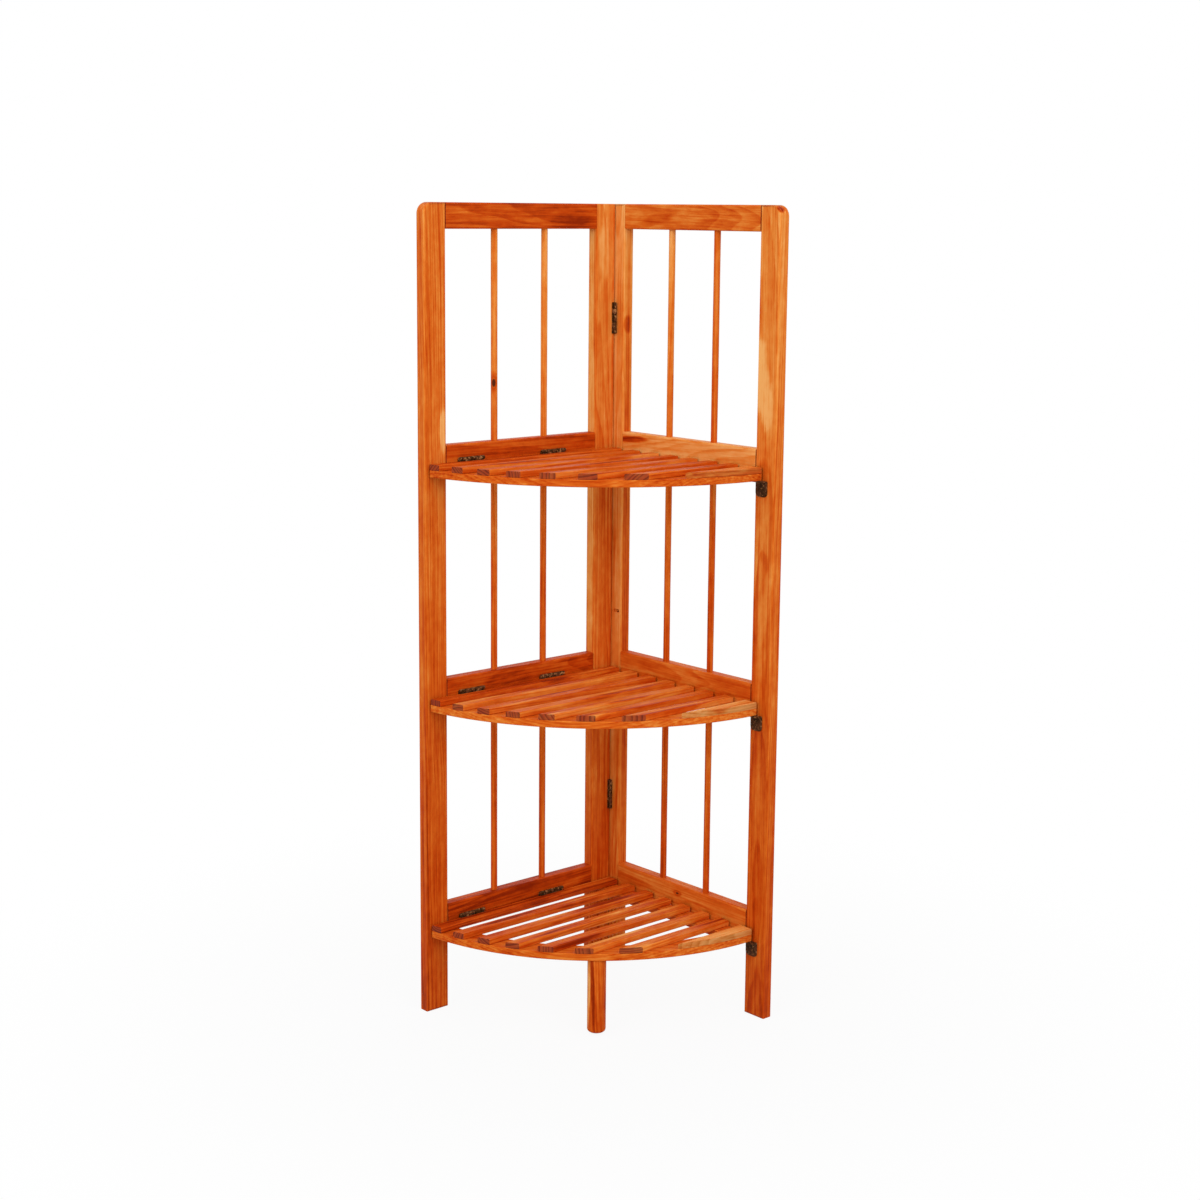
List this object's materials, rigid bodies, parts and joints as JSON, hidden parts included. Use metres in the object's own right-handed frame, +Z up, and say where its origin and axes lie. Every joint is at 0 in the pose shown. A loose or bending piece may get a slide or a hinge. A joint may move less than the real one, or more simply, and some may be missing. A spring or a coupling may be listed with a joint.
{
  "type": "folding corner shelf",
  "caption": "Free-standing corner shelf of two hinged ladder frames and quarter-round slatted shelves that fold up, with a round front leg.",
  "frame": {"origin": "middle of the footprint's bounding rectangle, on the floor", "axes": "+Z up; the left frame's inner face looks along +X and the right frame's inner face along -Y, so the open front faces +X and -Y"},
  "size_m": [0.291, 0.306, 0.96],
  "materials": {
    "stained_pine_frames": "satin varnish over orange-brown stain",
    "stained_pine_shelves": "satin varnish over orange-brown stain",
    "antiqued_steel": "dark bronzed, satin"
  },
  "bodies": {
    "frames": {"left_front_stile": "stained_pine_frames", "left_back_stile": "stained_pine_frames", "right_back_stile": "stained_pine_frames", "right_front_stile": "stained_pine_frames", "left_top_rail": "stained_pine_frames", "left_upper_rail": "stained_pine_frames", "left_middle_rail": "stained_pine_frames", "left_lower_rail": "stained_pine_frames", "right_top_rail": "stained_pine_frames", "right_upper_rail": "stained_pine_frames", "right_middle_rail": "stained_pine_frames", "right_lower_rail": "stained_pine_frames", "left_spindles": "stained_pine_frames", "right_spindles": "stained_pine_frames", "corner_hinge_right_leaves": "antiqued_steel", "corner_hinge_left_leaves": "antiqued_steel", "shelf_hinge_rail_leaves": "antiqued_steel", "hinge_pins": "antiqued_steel", "shelf_brackets": "antiqued_steel", "frame_screws": "antiqued_steel", "corner_screw": "antiqued_steel"},
    "low_shelf": {"low_slat_1": "stained_pine_shelves", "low_slat_2": "stained_pine_shelves", "low_slat_3": "stained_pine_shelves", "low_slat_4": "stained_pine_shelves", "low_slat_5": "stained_pine_shelves", "low_slat_6": "stained_pine_shelves", "low_slat_7": "stained_pine_shelves", "low_slat_8": "stained_pine_shelves", "low_front_rail": "stained_pine_shelves", "low_batten": "stained_pine_shelves", "low_hinge_leaves": "antiqued_steel", "low_shelf_screws": "antiqued_steel", "leg_post": "stained_pine_frames", "leg_glide": "antiqued_steel", "leg_screw": "antiqued_steel"},
    "middle_shelf": {"middle_slat_1": "stained_pine_shelves", "middle_slat_2": "stained_pine_shelves", "middle_slat_3": "stained_pine_shelves", "middle_slat_4": "stained_pine_shelves", "middle_slat_5": "stained_pine_shelves", "middle_slat_6": "stained_pine_shelves", "middle_slat_7": "stained_pine_shelves", "middle_slat_8": "stained_pine_shelves", "middle_front_rail": "stained_pine_shelves", "middle_batten": "stained_pine_shelves", "middle_hinge_leaves": "antiqued_steel", "middle_shelf_screws": "antiqued_steel"},
    "top_shelf": {"top_slat_1": "stained_pine_shelves", "top_slat_2": "stained_pine_shelves", "top_slat_3": "stained_pine_shelves", "top_slat_4": "stained_pine_shelves", "top_slat_5": "stained_pine_shelves", "top_slat_6": "stained_pine_shelves", "top_slat_7": "stained_pine_shelves", "top_slat_8": "stained_pine_shelves", "top_front_rail": "stained_pine_shelves", "top_batten": "stained_pine_shelves", "top_hinge_leaves": "antiqued_steel", "top_shelf_screws": "antiqued_steel"}
  },
  "joints": [
    {"name": "low_shelf_fold", "type": "hinge", "parent": "frames", "child": "low_shelf", "pos_m": [-0.1279, -0.0245, 0.1116], "axis": [0, -1, 0], "range_deg": [0, 90]},
    {"name": "middle_shelf_fold", "type": "hinge", "parent": "frames", "child": "middle_shelf", "pos_m": [-0.1279, -0.0245, 0.3886], "axis": [0, -1, 0], "range_deg": [0, 90]},
    {"name": "top_shelf_fold", "type": "hinge", "parent": "frames", "child": "top_shelf", "pos_m": [-0.1279, -0.0245, 0.6656], "axis": [0, -1, 0], "range_deg": [0, 90]}
  ]
}
